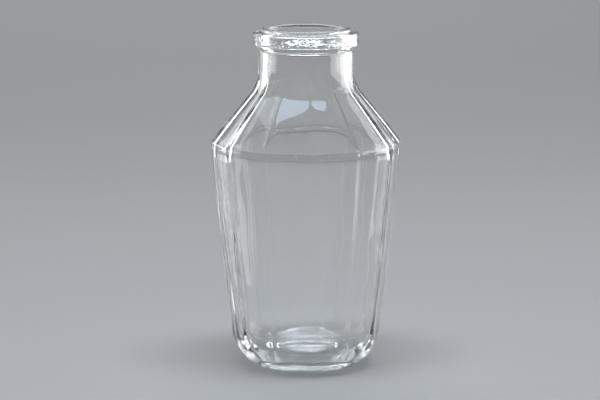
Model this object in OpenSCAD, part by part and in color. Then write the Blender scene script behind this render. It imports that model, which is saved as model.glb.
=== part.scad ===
// Twelve-sided clear glass milk bottle, open at the mouth.
//
// The bottle is one piece of glass, pressed and then blown in a mould. It is drawn here as the
// zones that bottle makers name, each a closed solid that meets the next one face to face:
// the finish (sealing lip and collar), the neck, the shoulder, the body, the heel,
// the bearing ring that the bottle stands on, and the pushed-up base.
// Origin: centre of the underside, where the bottle rests. +Z runs up through the mouth.

/* [Bottle] */
// Height from the bearing ring to the top of the sealing lip
total_h = 162; // [150:1:200]
// Number of flat sides round the body and the shoulder
side_count = 12; // [8:1:16]
// Part of each side's width left flat before the eased corner begins
flat_share = 0.96; // [0.8:0.02:0.96]

/* [Finish] */
// Bore of the mouth
bore_d = 36.6; // [34:0.2:38]
// Outside of the raised sealing lip
lip_d = 43; // [41.6:0.2:45]
// Height that the sealing lip stands above the collar
lip_rise = 1.6; // [1.2:0.1:2.5]
// Outside of the collar
collar_d = 50.2; // [48:0.2:54]
// Height of the collar's upright face with its rounded top corner
collar_face_h = 6.5; // [4:0.1:9]
// Height of the collar's sloping underside
collar_slope_h = 2.1; // [1:0.1:4]
// Radius of the rounded edges of the sealing lip
lip_round = 1.1; // [0.6:0.1:1.3]
// Radius of the collar's rounded top corner
collar_round = 1; // [0.6:0.1:2]
// Radius of the collar's lower corner
collar_corner = 0.5; // [0.2:0.1:0.9]

/* [Neck] */
// Outside of the neck
neck_d = 45.5; // [44.4:0.1:46.5]
// Inside of the neck, a little wider than the mouth
neck_bore_d = 38.4; // [37.6:0.2:39.6]
// Radius of the hollow curve from the neck to the shoulder
neck_flare_r = 16; // [12:0.5:20]

/* [Shoulder] */
// Height of the break, where the shoulder meets the body
break_h = 107.9; // [96:0.1:116]
// Width across the corners at the break, before the edge is rounded
break_d = 91.1; // [84:0.1:96]
// Angle of the shoulder away from upright
shoulder_angle = 39; // [32:0.5:44]
// Height at which the ridges between the sides have come up to full sharpness
ridge_top = 129.2; // [118:0.2:130]
// Radius of the rounded edge at the break
break_round = 3; // [1.5:0.5:5]

/* [Body] */
// Width across the corners at the top of the heel
heel_top_d = 71.6; // [66:0.2:78]
// How far the taper of the body bellies outwards at its middle
belly = 0.5; // [0:0.1:1]

/* [Heel and base] */
// Height of the rounded heel
heel_h = 18.5; // [14:0.5:24]
// How far the heel curves in, from the body to the bearing ring
heel_run = 16.6; // [12:0.2:18]
// Height of the push-up in the middle of the underside
push_up = 4.8; // [2:0.2:7]
// Thickness of the glass in the middle of the base
base_glass = 5; // [3:0.2:6]
// Width of the ring that touches the table
bearing_w = 1.8; // [1:0.2:2.6]

/* [Glass] */
// Thickness of the body wall at the corners
corner_glass = 3.7; // [3:0.1:4.6]
// How far the inside softens from twelve flats towards a circle
inner_soft = 0.45; // [0:0.05:1]

/* [Hidden] */
$fn = 96;
clear_glass = [0.86, 0.93, 0.94, 0.45];

// Round finish and neck
bore_r = bore_d / 2;
lip_r = lip_d / 2;
collar_r = collar_d / 2;
neck_r = neck_d / 2;
neck_bore_r = neck_bore_d / 2;
collar_top = total_h - lip_rise;
collar_bottom = collar_top - collar_face_h - collar_slope_h;
bore_flare_h = 1.6;

// The straight slope of the shoulder, and the hollow arc that joins it to the neck
break_r = break_d / 2;
slope = tan(shoulder_angle);
slope_meets_neck = break_h + (break_r - neck_r) / slope;
flare_z = slope_meets_neck + neck_flare_r * tan(shoulder_angle / 2);
flare_x = neck_r + neck_flare_r;
flare_low = flare_z - neck_flare_r * sin(shoulder_angle);
inner_flare_r = flare_x - neck_bore_r;
inner_flare_low = flare_z - inner_flare_r * sin(shoulder_angle);

// Widths of the body and the heel
heel_r = heel_top_d / 2;
taper_angle = atan((break_r - heel_r) / (break_h - heel_h));
half_turn = (shoulder_angle + taper_angle) / 2;
break_cut = break_round * tan(half_turn);
break_sink = break_round * (1 / cos(half_turn) - 1);
body_top = break_h - break_cut * cos(taper_angle);
bearing_r = heel_r - heel_run;
bearing_in_r = bearing_r - bearing_w;
ring_out_r = bearing_r + 3.6;
ring_in_r = bearing_in_r - 1.6;
inner_floor_r = bearing_in_r + 0.8;
inner_floor_z = 6.2;
dome_edge_z = 1.1;
floor_edge_z = 6.5;

// ---- the shape at any height -------------------------------------------------------------

// Corner radius of the body, a straight taper with a slight belly
function body_r(z) =
    let (t = (z - heel_h) / (break_h - heel_h))
    heel_r + (break_r - heel_r) * t + belly * 4 * t * (1 - t);

// Radius of the hollow curve that leaves the neck, for the outside or the inside of the glass
function flare(z, arc_r) = flare_x - sqrt(pow(arc_r, 2) - pow(flare_z - z, 2));

// Corner radius of the shoulder's outside: the hollow curve above, a straight slope below
function shoulder_r(z) = z > flare_low ? flare(z, neck_flare_r) : break_r - (z - break_h) * slope;

// The same for the shoulder's inside
function inner_shoulder_r(z) =
    z > inner_flare_low ? flare(z, inner_flare_r)
                        : flare(inner_flare_low, inner_flare_r) + (inner_flare_low - z) * slope;

// Half a cosine wave, from 0 to 1
function ease(t) = (1 - cos(180 * max(0, min(1, t)))) / 2;

// How round the shoulder is: a circle where it meets the neck, flat-sided lower down
function shoulder_round(z) = ease((z - ridge_top) / (flare_z - ridge_top));
function inner_round(z) = max(inner_soft, shoulder_round(z));

// How round the heel is: flat-sided at its top, a circle where it meets the bearing ring
function heel_round(z) = 1 - ease(z / heel_h);

// Angles round the bottle, five to each side, with two close together at every eased corner
side_angle = 360 / side_count;
flat_half = side_angle / 2 * flat_share;
side_steps = [-flat_half, -flat_half / 2, 0, flat_half / 2, flat_half];
ring_points = side_count * len(side_steps);

// Distance to the edge of a flat side, at an angle from the middle of that side
function flat_r(r, from_middle) = r * cos(side_angle / 2) / cos(from_middle);

// One horizontal outline of corner radius r; round_share turns the flats into a circle
function outline(r, z, round_share) = [
    for (side = [0:side_count - 1], step = side_steps)
        let (turn = (side + 0.5) * side_angle + step,
             reach = (1 - round_share) * flat_r(r, step) + round_share * r)
        [reach * sin(turn), -reach * cos(turn), z]
];

// Radius of the ball whose cap has this half width and this height
function cap_r(half_width, height) = (pow(half_width, 2) + pow(height, 2)) / (2 * height);

// ---- lofted glass ------------------------------------------------------------------------

// A band of triangles between two neighbouring outlines, turned to face outwards or inwards
function band(first, second, outwards) = [
    for (i = [0:ring_points - 1])
        let (j = (i + 1) % ring_points,
             a = first + i, b = first + j, c = second + i, d = second + j)
        each (outwards ? [[a, b, c], [b, d, c]] : [[a, c, b], [b, c, d]])
];

// A wall of glass between a stack of outer outlines and a stack of inner ones, top to bottom
module glass_wall(outer, inner) {
    outside = [for (ring = outer) each outline(ring[0], ring[1], ring[2])];
    inside = [for (ring = inner) each outline(ring[0], ring[1], ring[2])];
    inner_start = len(outside);
    outer_end = inner_start - ring_points;
    inner_end = inner_start + len(inside) - ring_points;
    polyhedron(
        points = concat(outside, inside),
        faces = concat(
            [for (k = [0:len(outer) - 2]) each band(k * ring_points, (k + 1) * ring_points, true)],
            [for (k = [0:len(inner) - 2])
                each band(inner_start + k * ring_points, inner_start + (k + 1) * ring_points, false)],
            band(0, inner_start, false),
            band(outer_end, inner_end, true)
        ),
        convexity = 8
    );
}

// ---- outlines of the three lofted zones --------------------------------------------------

// Shoulder, outside: down the hollow curve, down the slope, and over the rounded break
flare_steps = 6;
function flare_level(i, arc_r) = flare_z - arc_r * sin(shoulder_angle * i / flare_steps);
outer_levels = concat(
    [for (i = [0:flare_steps]) flare_level(i, neck_flare_r)],
    [ridge_top, break_h + break_cut * cos(shoulder_angle)]
);
shoulder_outer = concat(
    [for (z = outer_levels) [shoulder_r(z), z, shoulder_round(z)]],
    [[break_r - break_sink * cos(shoulder_angle - half_turn),
      break_h - break_sink * sin(shoulder_angle - half_turn), 0],
     [body_r(body_top), body_top, 0]]
);

// Shoulder, inside: the same way down, with a softer turn into the cavity of the body
inner_turn_h = 4;
cavity_top_r = body_r(body_top) - corner_glass;
inner_levels = concat(
    [for (i = [0:flare_steps]) flare_level(i, inner_flare_r)],
    [body_top + inner_turn_h]
);
shoulder_inner = concat(
    [for (z = inner_levels) [inner_shoulder_r(z), z, inner_round(z)]],
    [[cavity_top_r - inner_turn_h / 4, body_top + inner_turn_h * 0.4, inner_soft],
     [cavity_top_r, body_top, inner_soft]]
);

// Body: both faces follow the same taper
body_steps = 4;
body_levels = [for (i = [0:body_steps]) body_top + (heel_h - body_top) * i / body_steps];
body_outer = [for (z = body_levels) [body_r(z), z, 0]];
body_inner = [for (z = body_levels) [body_r(z) - corner_glass, z, inner_soft]];

// Heel: quarter ellipses outside and inside, both round where they reach the bearing ring
heel_steps = 7;
heel_foot_r = ring_out_r / cos(flat_half / 4);
ring_steps = 4;
function heel_z(r) = heel_h * (1 - sqrt(1 - pow((r - bearing_r) / heel_run, 2)));
cavity_low_r = heel_r - corner_glass;
cavity_run = cavity_low_r - inner_floor_r;
cavity_drop = heel_h - inner_floor_z;
function cavity_z(r) = inner_floor_z + cavity_drop * (1 - sqrt(1 - pow((r - inner_floor_r) / cavity_run, 2)));
outer_stop = asin((ring_out_r - bearing_r) / heel_run);
inner_stop = asin((ring_out_r - inner_floor_r) / cavity_run);
heel_outer = concat(
    [for (i = [0:heel_steps - 1])
        let (a = 90 + (outer_stop - 90) * i / heel_steps,
             z = heel_h * (1 - cos(a)))
        [bearing_r + heel_run * sin(a), z, heel_round(z)]],
    [[heel_foot_r, heel_z(ring_out_r), 1]]
);
heel_inner = concat(
    [for (i = [0:heel_steps - 1])
        let (a = 90 + (inner_stop - 90) * i / heel_steps,
             z = inner_floor_z + cavity_drop * (1 - cos(a)),
             fade = ease((z - inner_floor_z) / cavity_drop))
        [inner_floor_r + cavity_run * sin(a), z, 1 - (1 - inner_soft) * fade]],
    [[heel_foot_r, cavity_z(ring_out_r), 1]]
);

// ---- the zones of the bottle -------------------------------------------------------------

// Raised rim of the mouth, with a fully rounded top that a closure seals on
module sealing_lip() {
    color(clear_glass)
        rotate_extrude() {
            translate([bore_r, collar_top])
                square([lip_r - bore_r, lip_rise - lip_round]);
            for (x = [bore_r + lip_round, lip_r - lip_round])
                translate([x, total_h - lip_round])
                    circle(lip_round);
            translate([bore_r + lip_round, collar_top])
                square([lip_r - bore_r - 2 * lip_round, lip_rise]);
        }
}

// Heavy ring below the lip: upright face, rounded top corner and sloping underside
module collar() {
    color(clear_glass)
        rotate_extrude()
            difference() {
                union() {
                    polygon([
                        [0, collar_bottom],
                        [neck_r, collar_bottom],
                        [collar_r - collar_corner / 2, collar_bottom + collar_slope_h],
                        [collar_r, collar_bottom + collar_slope_h + collar_corner],
                        [collar_r, collar_top - collar_round],
                        [collar_r - collar_round, collar_top - collar_round],
                        [collar_r - collar_round, collar_top],
                        [0, collar_top]
                    ]);
                    translate([collar_r - collar_round, collar_top - collar_round])
                        circle(collar_round);
                }
                square([bore_r, total_h]);
                polygon([
                    [0, collar_bottom - 1],
                    [neck_bore_r, collar_bottom - 1],
                    [neck_bore_r, collar_bottom],
                    [bore_r, collar_bottom + bore_flare_h],
                    [0, collar_bottom + bore_flare_h]
                ]);
            }
}

// Straight round tube
module neck() {
    color(clear_glass)
        rotate_extrude()
            translate([neck_bore_r, flare_z])
                square([neck_r - neck_bore_r, collar_bottom - flare_z]);
}

// Twelve flat slopes that fade into the hollow curve of the round neck and turn over a soft break
module shoulder() {
    color(clear_glass)
        glass_wall(shoulder_outer, shoulder_inner);
}

// Twelve tapering flat sides with eased corners
module body() {
    color(clear_glass)
        glass_wall(body_outer, body_inner);
}

// Rounded lower corner, flat-sided above and round below
module heel() {
    color(clear_glass)
        glass_wall(heel_outer, heel_inner);
}

// Ring that the bottle stands on: flat where it touches, curving up to the heel and the push-up
module bearing_ring() {
    arc = [for (i = [0:ring_steps]) i / ring_steps];
    inner_foot = [for (t = arc)
        [ring_in_r + (bearing_in_r - ring_in_r) * sin(90 * t), dome_edge_z * (1 - sin(90 * t)) * (1 - t)]];
    outer_foot = [for (t = arc) let (r = bearing_r + (ring_out_r - bearing_r) * t) [r, heel_z(r)]];
    inner_floor = [for (t = arc)
        let (r = ring_out_r + (inner_floor_r - ring_out_r) * t) [r, cavity_z(r)]];
    color(clear_glass)
        rotate_extrude()
            polygon(concat(inner_foot, outer_foot, inner_floor, [[ring_in_r, floor_edge_z]]));
}

// Middle of the base, domed upwards so that the bottle stands only on its ring
module push_up_base() {
    under_r = cap_r(ring_in_r, push_up - dome_edge_z);
    floor_top = push_up + base_glass;
    floor_r = cap_r(ring_in_r, floor_top - floor_edge_z);
    color(clear_glass)
        rotate_extrude()
            intersection() {
                square([ring_in_r, floor_top]);
                difference() {
                    translate([0, floor_top - floor_r])
                        circle(floor_r, $fn = 360);
                    translate([0, push_up - under_r])
                        circle(under_r, $fn = 360);
                }
            }
}

sealing_lip();
collar();
neck();
shoulder();
body();
heel();
bearing_ring();
push_up_base();
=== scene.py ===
import math

import bmesh
import bpy
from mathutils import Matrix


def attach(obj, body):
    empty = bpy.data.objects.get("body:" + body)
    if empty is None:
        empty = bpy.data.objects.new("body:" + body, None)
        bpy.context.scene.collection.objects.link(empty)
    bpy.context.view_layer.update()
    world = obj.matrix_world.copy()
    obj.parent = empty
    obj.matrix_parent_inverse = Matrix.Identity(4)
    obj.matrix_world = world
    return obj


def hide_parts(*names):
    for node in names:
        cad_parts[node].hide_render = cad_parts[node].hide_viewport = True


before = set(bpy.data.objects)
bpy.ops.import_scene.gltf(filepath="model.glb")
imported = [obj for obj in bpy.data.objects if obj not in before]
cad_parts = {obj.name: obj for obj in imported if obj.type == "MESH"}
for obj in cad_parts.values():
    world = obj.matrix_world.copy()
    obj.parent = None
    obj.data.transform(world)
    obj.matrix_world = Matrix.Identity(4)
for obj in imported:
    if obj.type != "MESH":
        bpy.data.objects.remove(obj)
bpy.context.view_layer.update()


# ---- Studio ------------------------------------------------------------------------------------
# A pale matt table top that runs back out of view, under a dim grey room. A flat soft light hangs
# overhead, and bright cards stand and hang around the glass just out of view, as for any glassware.

def fresh_selection():
    """Leaves edit mode and lets go of everything."""
    if bpy.context.object and bpy.context.object.mode != "OBJECT":
        bpy.ops.object.mode_set(mode="OBJECT")
    bpy.ops.object.select_all(action="DESELECT")


def soft_light(name, place, aim, width, height, glow, tint, turn=0, roll=0):
    """A rectangular soft light at a place, facing another; glow is the brightness of its face."""
    bpy.ops.object.light_add(type="AREA", location=place)
    light = bpy.context.object
    light.name = name
    light.data.shape = "RECTANGLE"
    light.data.size = width
    light.data.size_y = height
    light.data.energy = glow * math.pi * width * height
    light.data.color = tint
    facing = tuple(a - p for a, p in zip(aim, place))
    away = math.hypot(facing[0], facing[1])
    light.rotation_euler = (math.atan2(away, -facing[2]), roll, math.atan2(-facing[0], facing[1]) + turn)
    light.visible_camera = False
    return light


class Wire:
    """One output of a shader node. Python sums and products of wires add the Math nodes for them."""

    def __init__(self, tree, socket=None):
        self.tree = tree
        self.socket = socket

    def add(self, kind, settings=None, sockets=None, output=0):
        """Any other node: its type, its settings, then the values or wires of its sockets."""
        node = self.tree.nodes.new(kind)
        for name, value in (settings or {}).items():
            setattr(node, name, value)
        for name, value in (sockets or {}).items():
            if isinstance(value, Wire):
                self.tree.links.new(value.socket, node.inputs[name])
            else:
                node.inputs[name].default_value = value
        return Wire(self.tree, node.outputs[output])

    def finish(self, volume=None):
        """Sends this surface, and what fills the piece if anything, to the material's output."""
        end = self.tree.nodes.new("ShaderNodeOutputMaterial")
        self.tree.links.new(self.socket, end.inputs["Surface"])
        if volume:
            self.tree.links.new(volume.socket, end.inputs["Volume"])

    def __add__(self, other):
        return self.add("ShaderNodeMath", {"operation": "ADD"}, {0: self, 1: other})

    def __sub__(self, other):
        return self.add("ShaderNodeMath", {"operation": "SUBTRACT"}, {0: self, 1: other})

    def __rsub__(self, other):
        return self.add("ShaderNodeMath", {"operation": "SUBTRACT"}, {0: other, 1: self})

    def __mul__(self, other):
        return self.add("ShaderNodeMath", {"operation": "MULTIPLY"}, {0: self, 1: other})

    def __pow__(self, other):
        return self.add("ShaderNodeMath", {"operation": "POWER"}, {0: self, 1: other})

    __radd__ = __add__
    __rmul__ = __mul__


def bare_material(name):
    """A new material with an empty node tree, and a wire to build its nodes from."""
    material = bpy.data.materials.new(name)
    material.use_nodes = True
    material.node_tree.nodes.clear()
    return material, Wire(material.node_tree)


fresh_selection()
bpy.ops.mesh.primitive_plane_add(size=24, location=(0, 0, 0))
table_top = bpy.context.object
table_top.name = "table_top"

# Matt from above, and clear from below so that the underside can be looked at through it
paint, easel = bare_material("matt_pale_grey")
matt = easel.add("ShaderNodeBsdfPrincipled", {}, {"Base Color": (0.50, 0.50, 0.50, 1), "Roughness": 0.85,
                                                  "Specular IOR Level": 0.0})
from_below = easel.add("ShaderNodeNewGeometry", output="Backfacing")
clear = easel.add("ShaderNodeBsdfTransparent")
easel.add("ShaderNodeMixShader", {}, {0: from_below, 1: matt, 2: clear}).finish()
table_top.data.materials.append(paint)

room = bpy.data.worlds.new("grey_room")
room.use_nodes = True
room.node_tree.nodes["Background"].inputs["Color"].default_value = (0.93, 0.96, 1.0, 1)
room.node_tree.nodes["Background"].inputs["Strength"].default_value = 0.30
bpy.context.scene.world = room

# The first light lights the table and the object; the far one only evens out the table behind it
white = (1, 1, 1)
slight_turn = math.radians(3.5)
overhead = soft_light("overhead", (0.03, -0.163, 1.2), (0.03, -0.163, 0), 0.9, 0.35, 9, (0.86, 0.93, 1.0),
                      slight_turn)
overhead.visible_glossy = False
far_table = soft_light("far_table", (0, 2.2, 1.8), (0, 1.6, 0), 2.5, 1.5, 1.36, white)
far_table.visible_glossy = False
far_table.visible_transmission = False

# These show in the glass alone, as bright cards do; the slanted one only as a gleam on its skin
slanted = soft_light("right_slanted", (0.5, 0.05, 0.046), (0, 0.05, 0.046), 0.75, 0.4, 3.8, white,
                     roll=math.radians(-26.6))
slanted.visible_transmission = False
for card in (soft_light("cool_card_above", (0.03, -0.163, 1.19), (0.03, -0.163, 0), 0.9, 0.35, 6, (0.6, 0.76, 1.0),
                        slight_turn),
             soft_light("canopy", (0, 0.5, 1.2), (0, 0.5, 0), 1.2, 1.0, 4, (0.9, 0.95, 1.0)),
             soft_light("left_high", (-0.85, 0.34, 1.2), (-0.85, 0.34, 0), 0.5, 0.6, 2, (0.8, 0.9, 1.0)),
             soft_light("left_upright", (-0.41, 0.287, 0.22), (0, 0, 0.12), 0.35, 0.44, 2, white),
             soft_light("right_back_upright", (0.476, 0.275, 0.22), (0, 0, 0.22), 0.444, 0.44, 2.6, white),
             slanted):
    card.visible_diffuse = False

# Light is followed through as many walls of thick glass as it takes
bpy.context.scene.cycles.max_bounces = 24
bpy.context.scene.cycles.transmission_bounces = 24
bpy.context.scene.cycles.glossy_bounces = 16

bpy.ops.object.camera_add(location=(-0.0769, -1.0833, 0.2705),
                          rotation=(math.radians(80.02), 0, math.radians(-3.91)))
camera = bpy.context.object
camera.data.lens = 138.26
camera.data.sensor_width = 36
camera.data.clip_start = 0.05
camera.data.clip_end = 60
bpy.context.scene.camera = camera
bpy.context.scene.view_settings.view_transform = "Standard"


# ---- Glass bottle ------------------------------------------------------------------------------
# One piece of clear soda-lime glass, pressed and blown in a two-part mould: twelve tapering flats,
# a sloping shoulder, a round neck and a heavy collar under the lip. Skin by skin it is drawn up and
# down from a starting ring, outside and inside, and the two skins are closed over the lip.

mm = 0.001
sides = 12
total_h = 161.9998 * mm  # 162 mm, less a hair for rounding
bore_r = 18.3 * mm
lip_r = 21.5 * mm
lip_round = 1.1 * mm
collar_top = 160.4 * mm
collar_r = 25.1 * mm
collar_round = 1.0 * mm
collar_corner = 0.5 * mm
collar_face_low = 153.9 * mm
collar_bottom = 151.8 * mm
neck_r = 22.75 * mm
neck_bore_r = 19.2 * mm
bore_step_top = 153.4 * mm

break_r = 45.55 * mm
break_h = 107.9 * mm
break_round = 1.8 * mm
ridge_top = 129.2 * mm
shoulder_angle = math.radians(39)
flare_arc = 16 * mm
slope_foot_angle = math.radians(37.4)
inner_slope_angle = math.radians(37.2)
inner_turn_r = 7.5 * mm
flat_crown = 0.10

heel_r = 35.8 * mm
heel_h = 18.5 * mm
heel_run = 16.6 * mm
belly = 0.5 * mm
bearing_r = 19.2 * mm
bearing_in_r = 17.4 * mm
dome_edge_r = 15.8 * mm
dome_edge_h = 1.1 * mm
push_up = 4.8 * mm
base_glass = 5 * mm
corner_glass = 3.7 * mm
inner_soft = 0.45
inner_floor_r = 18.2 * mm
inner_floor_h = 6.2 * mm
floor_edge_h = 6.5 * mm

slope = math.tan(shoulder_angle)
slope_meets_neck = break_h + (break_r - neck_r) / slope
flare_top = slope_meets_neck + flare_arc * math.tan(shoulder_angle / 2)
flare_centre_r = neck_r + flare_arc
flare_low = flare_top - flare_arc * math.sin(shoulder_angle)
inner_flare_arc = flare_centre_r - neck_bore_r
inner_flare_low = flare_top - inner_flare_arc * math.sin(shoulder_angle)
taper_angle = math.atan((break_r - heel_r) / (break_h - heel_h))
half_turn = (shoulder_angle + taper_angle) / 2
break_cut = break_round * math.tan(half_turn)
body_top = break_h - break_cut * math.cos(taper_angle)


def ease(t):
    return (1 - math.cos(math.pi * max(0, min(1, t)))) / 2


def body_reach(z):
    t = (z - heel_h) / (break_h - heel_h)
    return heel_r + (break_r - heel_r) * t + belly * 4 * t * (1 - t)


def flare_reach(z, arc):
    return flare_centre_r - math.sqrt(arc ** 2 - (flare_top - z) ** 2)


break_centre_r = body_reach(body_top) - break_round * math.cos(taper_angle)
break_centre_h = body_top + break_round * math.sin(taper_angle)
slope_start = break_centre_h + break_round * math.sin(slope_foot_angle)
slope_start_r = break_centre_r + break_round * math.cos(slope_foot_angle)
slope_foot = math.tan(slope_foot_angle)
slope_rise = flare_low - slope_start
slope_swell = ((slope_start_r - flare_reach(flare_low, flare_arc)) / slope_rise - slope_foot) / slope_rise


def shoulder_reach(z):
    if z > flare_low:
        return flare_reach(z, flare_arc)
    up = z - slope_start
    return slope_start_r - up * slope_foot - up * up * slope_swell


def shoulder_round(z):
    return ease((z - ridge_top) / (flare_top - ridge_top))


def pick(wanted):
    """Selects, in edit mode, the vertices whose place passes the test."""
    bpy.ops.mesh.select_all(action="DESELECT")
    mesh = bmesh.from_edit_mesh(bpy.context.object.data)
    for v in mesh.verts:
        v.select = wanted(v.co)
    mesh.select_flush_mode()
    bmesh.update_edit_mesh(bpy.context.object.data)


def start_ring(name, height, reach, corner_ease):
    """A twelve-sided ring with eased corners, subdivided along its flats, left selected in edit mode."""
    corner_ease *= reach
    fresh_selection()
    bpy.ops.mesh.primitive_circle_add(vertices=sides, radius=reach, location=(0, 0, height))
    ring = bpy.context.object
    ring.name = name
    bpy.ops.object.transform_apply(location=True, rotation=True, scale=True)
    bpy.ops.object.mode_set(mode="EDIT")
    bpy.ops.mesh.select_all(action="SELECT")
    bpy.ops.mesh.bevel(offset=corner_ease, segments=6, affect="VERTICES", profile=0.5)
    mesh = bmesh.from_edit_mesh(ring.data)
    for edge in mesh.edges:
        edge.select = edge.calc_length() > 3 * corner_ease
    bmesh.update_edit_mesh(ring.data)
    bpy.ops.mesh.subdivide(number_cuts=7)
    bpy.ops.mesh.select_all(action="SELECT")
    mean = sum(v.co.xy.length for v in mesh.verts) / len(mesh.verts) / reach
    return {"height": height, "size": reach, "roundness": 0.0, "mean": mean}


def draw(ring, outline):
    """Extrudes the selected ring through (height, reach, roundness) steps; the last ring stays selected."""
    for height, reach, roundness in outline:
        bpy.ops.mesh.extrude_edges_move(TRANSFORM_OT_translate={"value": (0, 0, height - ring["height"])})
        blend = roundness / (roundness + ring["mean"] * (1 - roundness))
        if blend > ring["roundness"]:
            step = 1 - (1 - blend) / (1 - ring["roundness"]) if ring["roundness"] < 1 else 0
            bpy.ops.transform.tosphere(value=step)
            ring["roundness"] = blend
        size = reach * ((1 - roundness) + roundness / ring["mean"])
        grow = size / ring["size"]
        bpy.ops.transform.resize(value=(grow, grow, 1), center_override=(0, 0, height))
        ring["height"], ring["size"] = height, size
    return ring


def arc(centre_r, centre_h, radius, first, last, steps):
    """Points (height, reach, 1) along an arc in the profile, angles in degrees from level outwards."""
    turn = [math.radians(first + (last - first) * i / steps) for i in range(steps + 1)]
    return [(centre_h + radius * math.sin(a), centre_r + radius * math.cos(a), 1) for a in turn]


def between(low, high, steps):
    """Even steps from low to high, both included."""
    return [low + (high - low) * i / steps for i in range(steps + 1)]


# Outside, upwards: over the break, up the slope and the hollow flare, the neck, collar and lip
corner_ease = 0.027
crest_r = (bore_r + lip_r) / 2
outside = start_ring("clear_glass_bottle", body_top, body_reach(body_top), corner_ease)
break_turn = between(-math.degrees(taper_angle), math.degrees(slope_foot_angle), 6)
over_break = [(break_centre_h + break_round * math.sin(math.radians(a)),
               break_centre_r + break_round * math.cos(math.radians(a)), 0) for a in break_turn[1:]]
up_slope = [(z, shoulder_reach(z), max(shoulder_round(z), flat_crown * ease((z - slope_start) / (8 * mm))))
            for z in between(slope_start, flare_low, 16)[1:]]
up_flare = [(z, shoulder_reach(z), max(shoulder_round(z), flat_crown))
            for z in between(flare_low, flare_top, 14)[1:]]
up_neck = [(z, neck_r, 1) for z in between(flare_top, collar_bottom, 6)[1:]]
under_collar = [(collar_bottom + 0.35 * mm, neck_r + 0.12 * mm, 1),
                (collar_bottom + 0.75 * mm, neck_r + 0.55 * mm, 1),
                (collar_face_low - 0.3 * mm, collar_r - 0.55 * mm, 1),
                (collar_face_low + 0.1 * mm, collar_r - 0.15 * mm, 1)]
collar_face = [(z, collar_r, 1) for z in between(collar_face_low + collar_corner, collar_top - collar_round, 10)]
over_collar = arc(collar_r - collar_round, collar_top - collar_round, collar_round, 0, 90, 5)[1:]
onto_lip = [(collar_top, lip_r + 0.6 * mm, 1), (collar_top + 0.15 * mm, lip_r + 0.12 * mm, 1)]
over_lip = arc(lip_r - lip_round, total_h - lip_round, lip_round, 0, 90, 6) + [(total_h, crest_r, 1)]
draw(outside, over_break + up_slope + up_flare + up_neck + under_collar + collar_face
     + over_collar + onto_lip + over_lip)

# Outside, downwards: the tapering flats, the rounded heel, the bearing ring and the pushed-up base
pick(lambda co: abs(co.z - body_top) < 1e-6)
outside.update(height=body_top, size=body_reach(body_top), roundness=0.0)
down_body = [(z, body_reach(z), 0) for z in between(body_top, heel_h, 34)[1:]]
round_heel = [(heel_h * (1 - math.cos(math.radians(a))),
               bearing_r + heel_run * math.sin(math.radians(a)),
               1 - ease(1 - math.cos(math.radians(a)))) for a in between(90, 0, 18)[1:]]
across_ring = [(0, bearing_r - 0.9 * mm, 1), (0, bearing_in_r, 1),
               (0.25 * mm, bearing_in_r - 0.45 * mm, 1), (0.68 * mm, bearing_in_r - 1.05 * mm, 1),
               (dome_edge_h, dome_edge_r, 1)]
under_arc = (dome_edge_r ** 2 + (push_up - dome_edge_h) ** 2) / (2 * (push_up - dome_edge_h))
up_dome = [(push_up - under_arc + math.sqrt(under_arc ** 2 - r ** 2), r, 1)
           for r in between(dome_edge_r, 0.4 * mm, 12)[1:]]
draw(outside, down_body + round_heel + across_ring + up_dome)
bpy.ops.mesh.merge(type="CENTER")

# Mould seams: a fine fin up two opposite ridges, where the halves of the mould met
seam_stands = 0.06 * mm
seam_foot = 2 * mm
seam_head = 159 * mm
for turn in (60, 240):
    way = (math.cos(math.radians(turn)), math.sin(math.radians(turn)))
    pick(lambda co: (seam_foot < co.z < seam_head and co.x * way[0] + co.y * way[1] > 0
                     and abs(co.x * way[1] - co.y * way[0]) < 0.05 * mm))
    bpy.ops.transform.translate(value=(way[0] * seam_stands, way[1] * seam_stands, 0))

# The collar's face is cut finer, then knocked about: chips at the seam, small bruises further round
pick(lambda co: collar_face_low - 0.1 * mm < co.z < collar_top + 0.05 * mm and co.xy.length > lip_r + 0.3 * mm)
bpy.ops.mesh.subdivide(number_cuts=2, smoothness=0)
chips = ((242.5, 157.0, 0.45, 1.5), (239.0, 155.2, 0.40, 1.2), (251.0, 158.4, 0.30, 0.9),
         (262.0, 156.1, 0.22, 1.1), (287.0, 156.6, 0.40, 1.3), (289.5, 155.0, 0.35, 1.1),
         (283.0, 158.3, 0.25, 0.9), (312.0, 157.4, 0.30, 1.2), (52.0, 156.8, 0.35, 1.2),
         (118.0, 157.6, 0.25, 1.0), (171.0, 155.9, 0.30, 1.1), (204.0, 158.0, 0.25, 1.0))
chip_touch = 0.45 * mm
for turn, height, deep, wide in chips:
    way = (math.cos(math.radians(turn)), math.sin(math.radians(turn)))
    spot = (collar_r * way[0], collar_r * way[1], height * mm)
    pick(lambda co: math.dist(co, spot) < chip_touch)
    bpy.ops.transform.translate(value=(-way[0] * deep * mm, -way[1] * deep * mm, 0), use_proportional_edit=True,
                                proportional_edit_falloff="SMOOTH", proportional_size=wide * mm)
bpy.ops.mesh.select_all(action="SELECT")
bpy.ops.mesh.normals_make_consistent(inside=False)
bpy.ops.object.mode_set(mode="OBJECT")


def ripple(skin, name, pattern_size, depth, rest, share):
    """Lets a skin of glass wander by a cloudy pattern; share gives how much of it each height takes."""
    band = skin.vertex_groups.new(name=name)
    for v in skin.data.vertices:
        band.add([v.index], share(v.co), "REPLACE")
    cloud = bpy.data.textures.new(name, "CLOUDS")
    cloud.noise_scale = pattern_size
    cloud.noise_depth = 1
    wander = skin.modifiers.new(name, "DISPLACE")
    wander.texture = cloud
    wander.texture_coords = "LOCAL"
    wander.direction = "NORMAL"
    wander.vertex_group = name
    wander.strength = depth
    wander.mid_level = rest
    fresh_selection()
    skin.select_set(True)
    bpy.context.view_layer.objects.active = skin
    bpy.ops.object.modifier_apply(modifier=name)
    skin.vertex_groups.clear()


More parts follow.
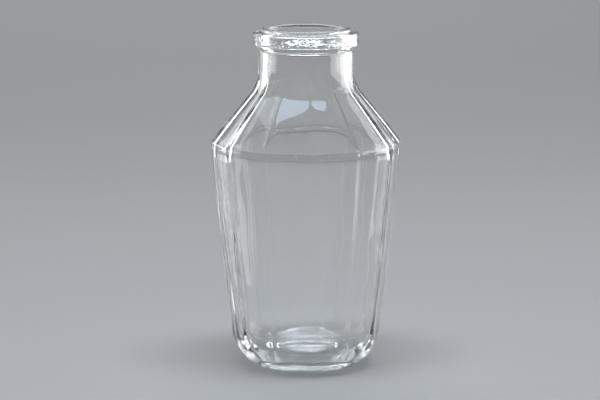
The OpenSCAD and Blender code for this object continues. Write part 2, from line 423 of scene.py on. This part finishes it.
def within(z, low, low_full, high_full, high):
    """Rises from 0 to 1 between low and low_full, and falls again between high_full and high."""
    return ease((z - low) / (low_full - low)) * ease((high - z) / (high - high_full))


bottle = bpy.data.objects["clear_glass_bottle"]
ripple(bottle, "slow_ripple", 21 * mm, 0.08 * mm, 1.0,
       lambda co: within(co.z, 3 * mm, 12 * mm, 146 * mm, 152 * mm) * (0.4 if co.z > break_h else 1))
ripple(bottle, "collar_pitting", 1.3 * mm, 0.11 * mm, 1.0,
       lambda co: within(co.z, 153.8 * mm, 155.2 * mm, 158.2 * mm, 160 * mm) * (co.xy.length > lip_r + 1 * mm))

# Inside, upwards: a softer cavity, the flare behind the neck, the bore and the inner edge of the lip
inner_slope = math.tan(inner_slope_angle)
wall_slope = (body_reach(body_top) - body_reach(body_top - 5 * mm)) / (5 * mm)
wall_angle = math.atan(wall_slope)
cavity_meet_h = ((flare_reach(inner_flare_low, inner_flare_arc) + inner_flare_low * inner_slope
                  - body_reach(body_top) + corner_glass + wall_slope * body_top) / (inner_slope + wall_slope))
turn_reach = inner_turn_r * math.tan((inner_slope_angle + wall_angle) / 2)
cavity_top = cavity_meet_h - turn_reach * math.cos(wall_angle)
cavity_reach = body_reach(cavity_top) - corner_glass
inside = start_ring("cavity", cavity_top, cavity_reach, corner_ease)
softness = inner_soft / (inner_soft + inside["mean"] * (1 - inner_soft))
bpy.ops.transform.tosphere(value=softness)
cavity_size = cavity_reach * ((1 - inner_soft) + inner_soft / inside["mean"])
bpy.ops.transform.resize(value=(cavity_size / cavity_reach,) * 2 + (1,), center_override=(0, 0, cavity_top))
inside.update(size=cavity_size, roundness=softness)
turn_centre_r = cavity_reach - inner_turn_r * math.cos(wall_angle)
turn_centre_h = cavity_top + inner_turn_r * math.sin(wall_angle)
inner_turn = between(-math.degrees(wall_angle), math.degrees(inner_slope_angle), 7)
under_slope = [(turn_centre_h + inner_turn_r * math.sin(math.radians(a)),
                turn_centre_r + inner_turn_r * math.cos(math.radians(a)), inner_soft) for a in inner_turn[1:]]
in_shoulder = [(z, flare_reach(inner_flare_low, inner_flare_arc) + (inner_flare_low - z) * inner_slope,
                max(inner_soft, shoulder_round(z))) for z in between(under_slope[-1][0], inner_flare_low, 12)[1:]]
in_flare = [(z, flare_reach(z, inner_flare_arc), max(inner_soft, shoulder_round(z)))
            for z in between(inner_flare_low, flare_top, 12)[1:]]
in_neck = [(z, neck_bore_r, 1) for z in between(flare_top, collar_bottom, 6)[1:]]
in_step = [(collar_bottom + 0.5 * mm, neck_bore_r - 0.18 * mm, 1),
           (collar_bottom + 1.1 * mm, bore_r + 0.2 * mm, 1)]
in_bore = [(z, bore_r, 1) for z in between(bore_step_top, total_h - lip_round, 12)]
in_lip = arc(bore_r + lip_round, total_h - lip_round, lip_round, 180, 90, 6)[1:] + [(total_h, crest_r, 1)]
draw(inside, under_slope + in_shoulder + in_flare + in_neck + in_step + in_bore + in_lip)

# Inside, downwards: the tapering cavity, its rounded corner and the floor over the push-up
pick(lambda co: abs(co.z - cavity_top) < 1e-6)
inside.update(height=cavity_top, size=cavity_size, roundness=softness)
in_body = [(z, body_reach(z) - corner_glass, inner_soft) for z in between(cavity_top, heel_h, 34)[1:]]
cavity_run = heel_r - corner_glass - inner_floor_r
cavity_drop = heel_h - inner_floor_h
in_heel = [(inner_floor_h + cavity_drop * (1 - math.cos(math.radians(a))),
            inner_floor_r + cavity_run * math.sin(math.radians(a)),
            1 - (1 - inner_soft) * ease(1 - math.cos(math.radians(a)))) for a in between(90, 0, 16)[1:]]
floor_top = push_up + base_glass
floor_arc = (dome_edge_r ** 2 + (floor_top - floor_edge_h) ** 2) / (2 * (floor_top - floor_edge_h))
in_floor = [(inner_floor_h + 0.07 * mm, inner_floor_r - 1.2 * mm, 1)]
in_floor += [(floor_top - floor_arc + math.sqrt(floor_arc ** 2 - r ** 2), r, 1)
             for r in between(dome_edge_r, 0.4 * mm, 12)]
draw(inside, in_body + in_heel + in_floor)
bpy.ops.mesh.merge(type="CENTER")
bpy.ops.object.mode_set(mode="OBJECT")
cavity = bpy.data.objects["cavity"]
ripple(cavity, "blown_ripple", 22 * mm, 0.45 * mm, 0.5,
       lambda co: within(co.z, 7 * mm, 14 * mm, 128 * mm, 150 * mm))
ripple(cavity, "neck_ripple", 9 * mm, 0.25 * mm, 0.5,
       lambda co: within(co.z, 126 * mm, 138 * mm, 148 * mm, 153 * mm))

# The two skins meet along the crest of the lip and become one closed wall of glass
fresh_selection()
cavity.select_set(True)
bottle.select_set(True)
bpy.context.view_layer.objects.active = bottle
bpy.ops.object.join()
bpy.ops.object.mode_set(mode="EDIT")
bpy.ops.mesh.select_all(action="SELECT")
bpy.ops.mesh.remove_doubles(threshold=0.002 * mm)
bpy.ops.mesh.normals_make_consistent(inside=False)
bpy.ops.object.mode_set(mode="OBJECT")
bpy.ops.object.shade_smooth()


# The glass itself, clear and faintly tinted through its depth
glass, bench = bare_material("clear_soda_lime_glass")
place = bench.add("ShaderNodeTexCoord", output="Object")
across = bench.add("ShaderNodeSeparateXYZ", {}, {0: place}, "X")
along = bench.add("ShaderNodeSeparateXYZ", {}, {0: place}, "Y")
height = bench.add("ShaderNodeSeparateXYZ", {}, {0: place}, "Z")
reach = (across ** 2 + along ** 2) ** 0.5


def rise(value, low, high):
    """0 below low, 1 above high, with a soft climb between."""
    return value.add("ShaderNodeMapRange", {"interpolation_type": "SMOOTHSTEP"},
                     {"Value": value, "From Min": low, "From Max": high, "To Min": 0.0, "To Max": 1.0})


def grain(size, detail=2.0, stretch=(1, 1, 1)):
    """Cloudy noise with patches of about this size in metres, longer along an axis where stretch is small."""
    cell = bench.add("ShaderNodeMapping", {}, {"Vector": place, "Scale": stretch})
    return bench.add("ShaderNodeTexNoise", {}, {"Vector": cell, "Scale": 1 / size, "Detail": detail,
                                                "Roughness": 0.55, "Distortion": 0.3})


# Where years of handling and washing tell: the bearing ring and heel, the break, the collar
scuffs = rise(grain(1.1 * mm, 4.0), 0.52, 0.66)
scratches = rise(grain(0.45 * mm, 2.0, (1, 1, 0.12)), 0.60, 0.72)
stood_on = 1 - rise(height, 0.15 * mm, 1.6 * mm)
heel_rubbed = rise(reach, 20 * mm, 24 * mm) * (1 - rise(height, 5 * mm, 16 * mm))
break_rubbed = (rise(height, 105.6 * mm, 107.4 * mm) * (1 - rise(height, 108.6 * mm, 110 * mm))
                * rise(reach, 43.4 * mm, 44.4 * mm))
collar_rubbed = rise(height, 152.6 * mm, 154 * mm) * (1 - rise(height, 159.6 * mm, 160.3 * mm))
wear = (stood_on * (0.55 + 0.45 * scuffs) + heel_rubbed * scuffs * 0.35 + break_rubbed * scuffs * 0.5
        + collar_rubbed * scuffs * 0.4 + scratches * 0.05)

# Water film and wiping marks, barely there
film = rise(grain(14 * mm, 3.0, (1, 1, 0.45)), 0.46, 0.74)

# Drag lines of the mould and the chill ripple of the pressed skin
drag = grain(1.7 * mm, 1.0, (1, 1, 0.06))
chill = grain(5.5 * mm, 2.0)
relief = 0.55 * chill + 0.10 * drag - 0.9 * wear
skin_bump = bench.add("ShaderNodeBump", {}, {"Strength": 1.0, "Distance": 0.012 * mm, "Height": relief})

tone = bench.add("ShaderNodeMix", {"data_type": "RGBA"},
                 {"Factor": film * 0.6 + wear * 0.4, 6: (1.0, 1.0, 1.0, 1), 7: (0.955, 0.965, 0.97, 1)}, 2)
surface = bench.add("ShaderNodeBsdfPrincipled", {}, {
    "Base Color": tone, "Roughness": 0.004 + 0.016 * film + 0.28 * wear, "IOR": 1.52,
    "Transmission Weight": 1.0, "Normal": skin_bump})
tint = bench.add("ShaderNodeVolumeAbsorption", {}, {"Color": (0.80, 0.93, 0.88, 1), "Density": 3.0})
surface.finish(tint)
bottle.data.materials.clear()
bottle.data.materials.append(glass)

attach(bottle, "root")
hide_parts("sealing_lip", "collar", "neck", "shoulder", "body", "heel", "bearing_ring", "push_up_base")
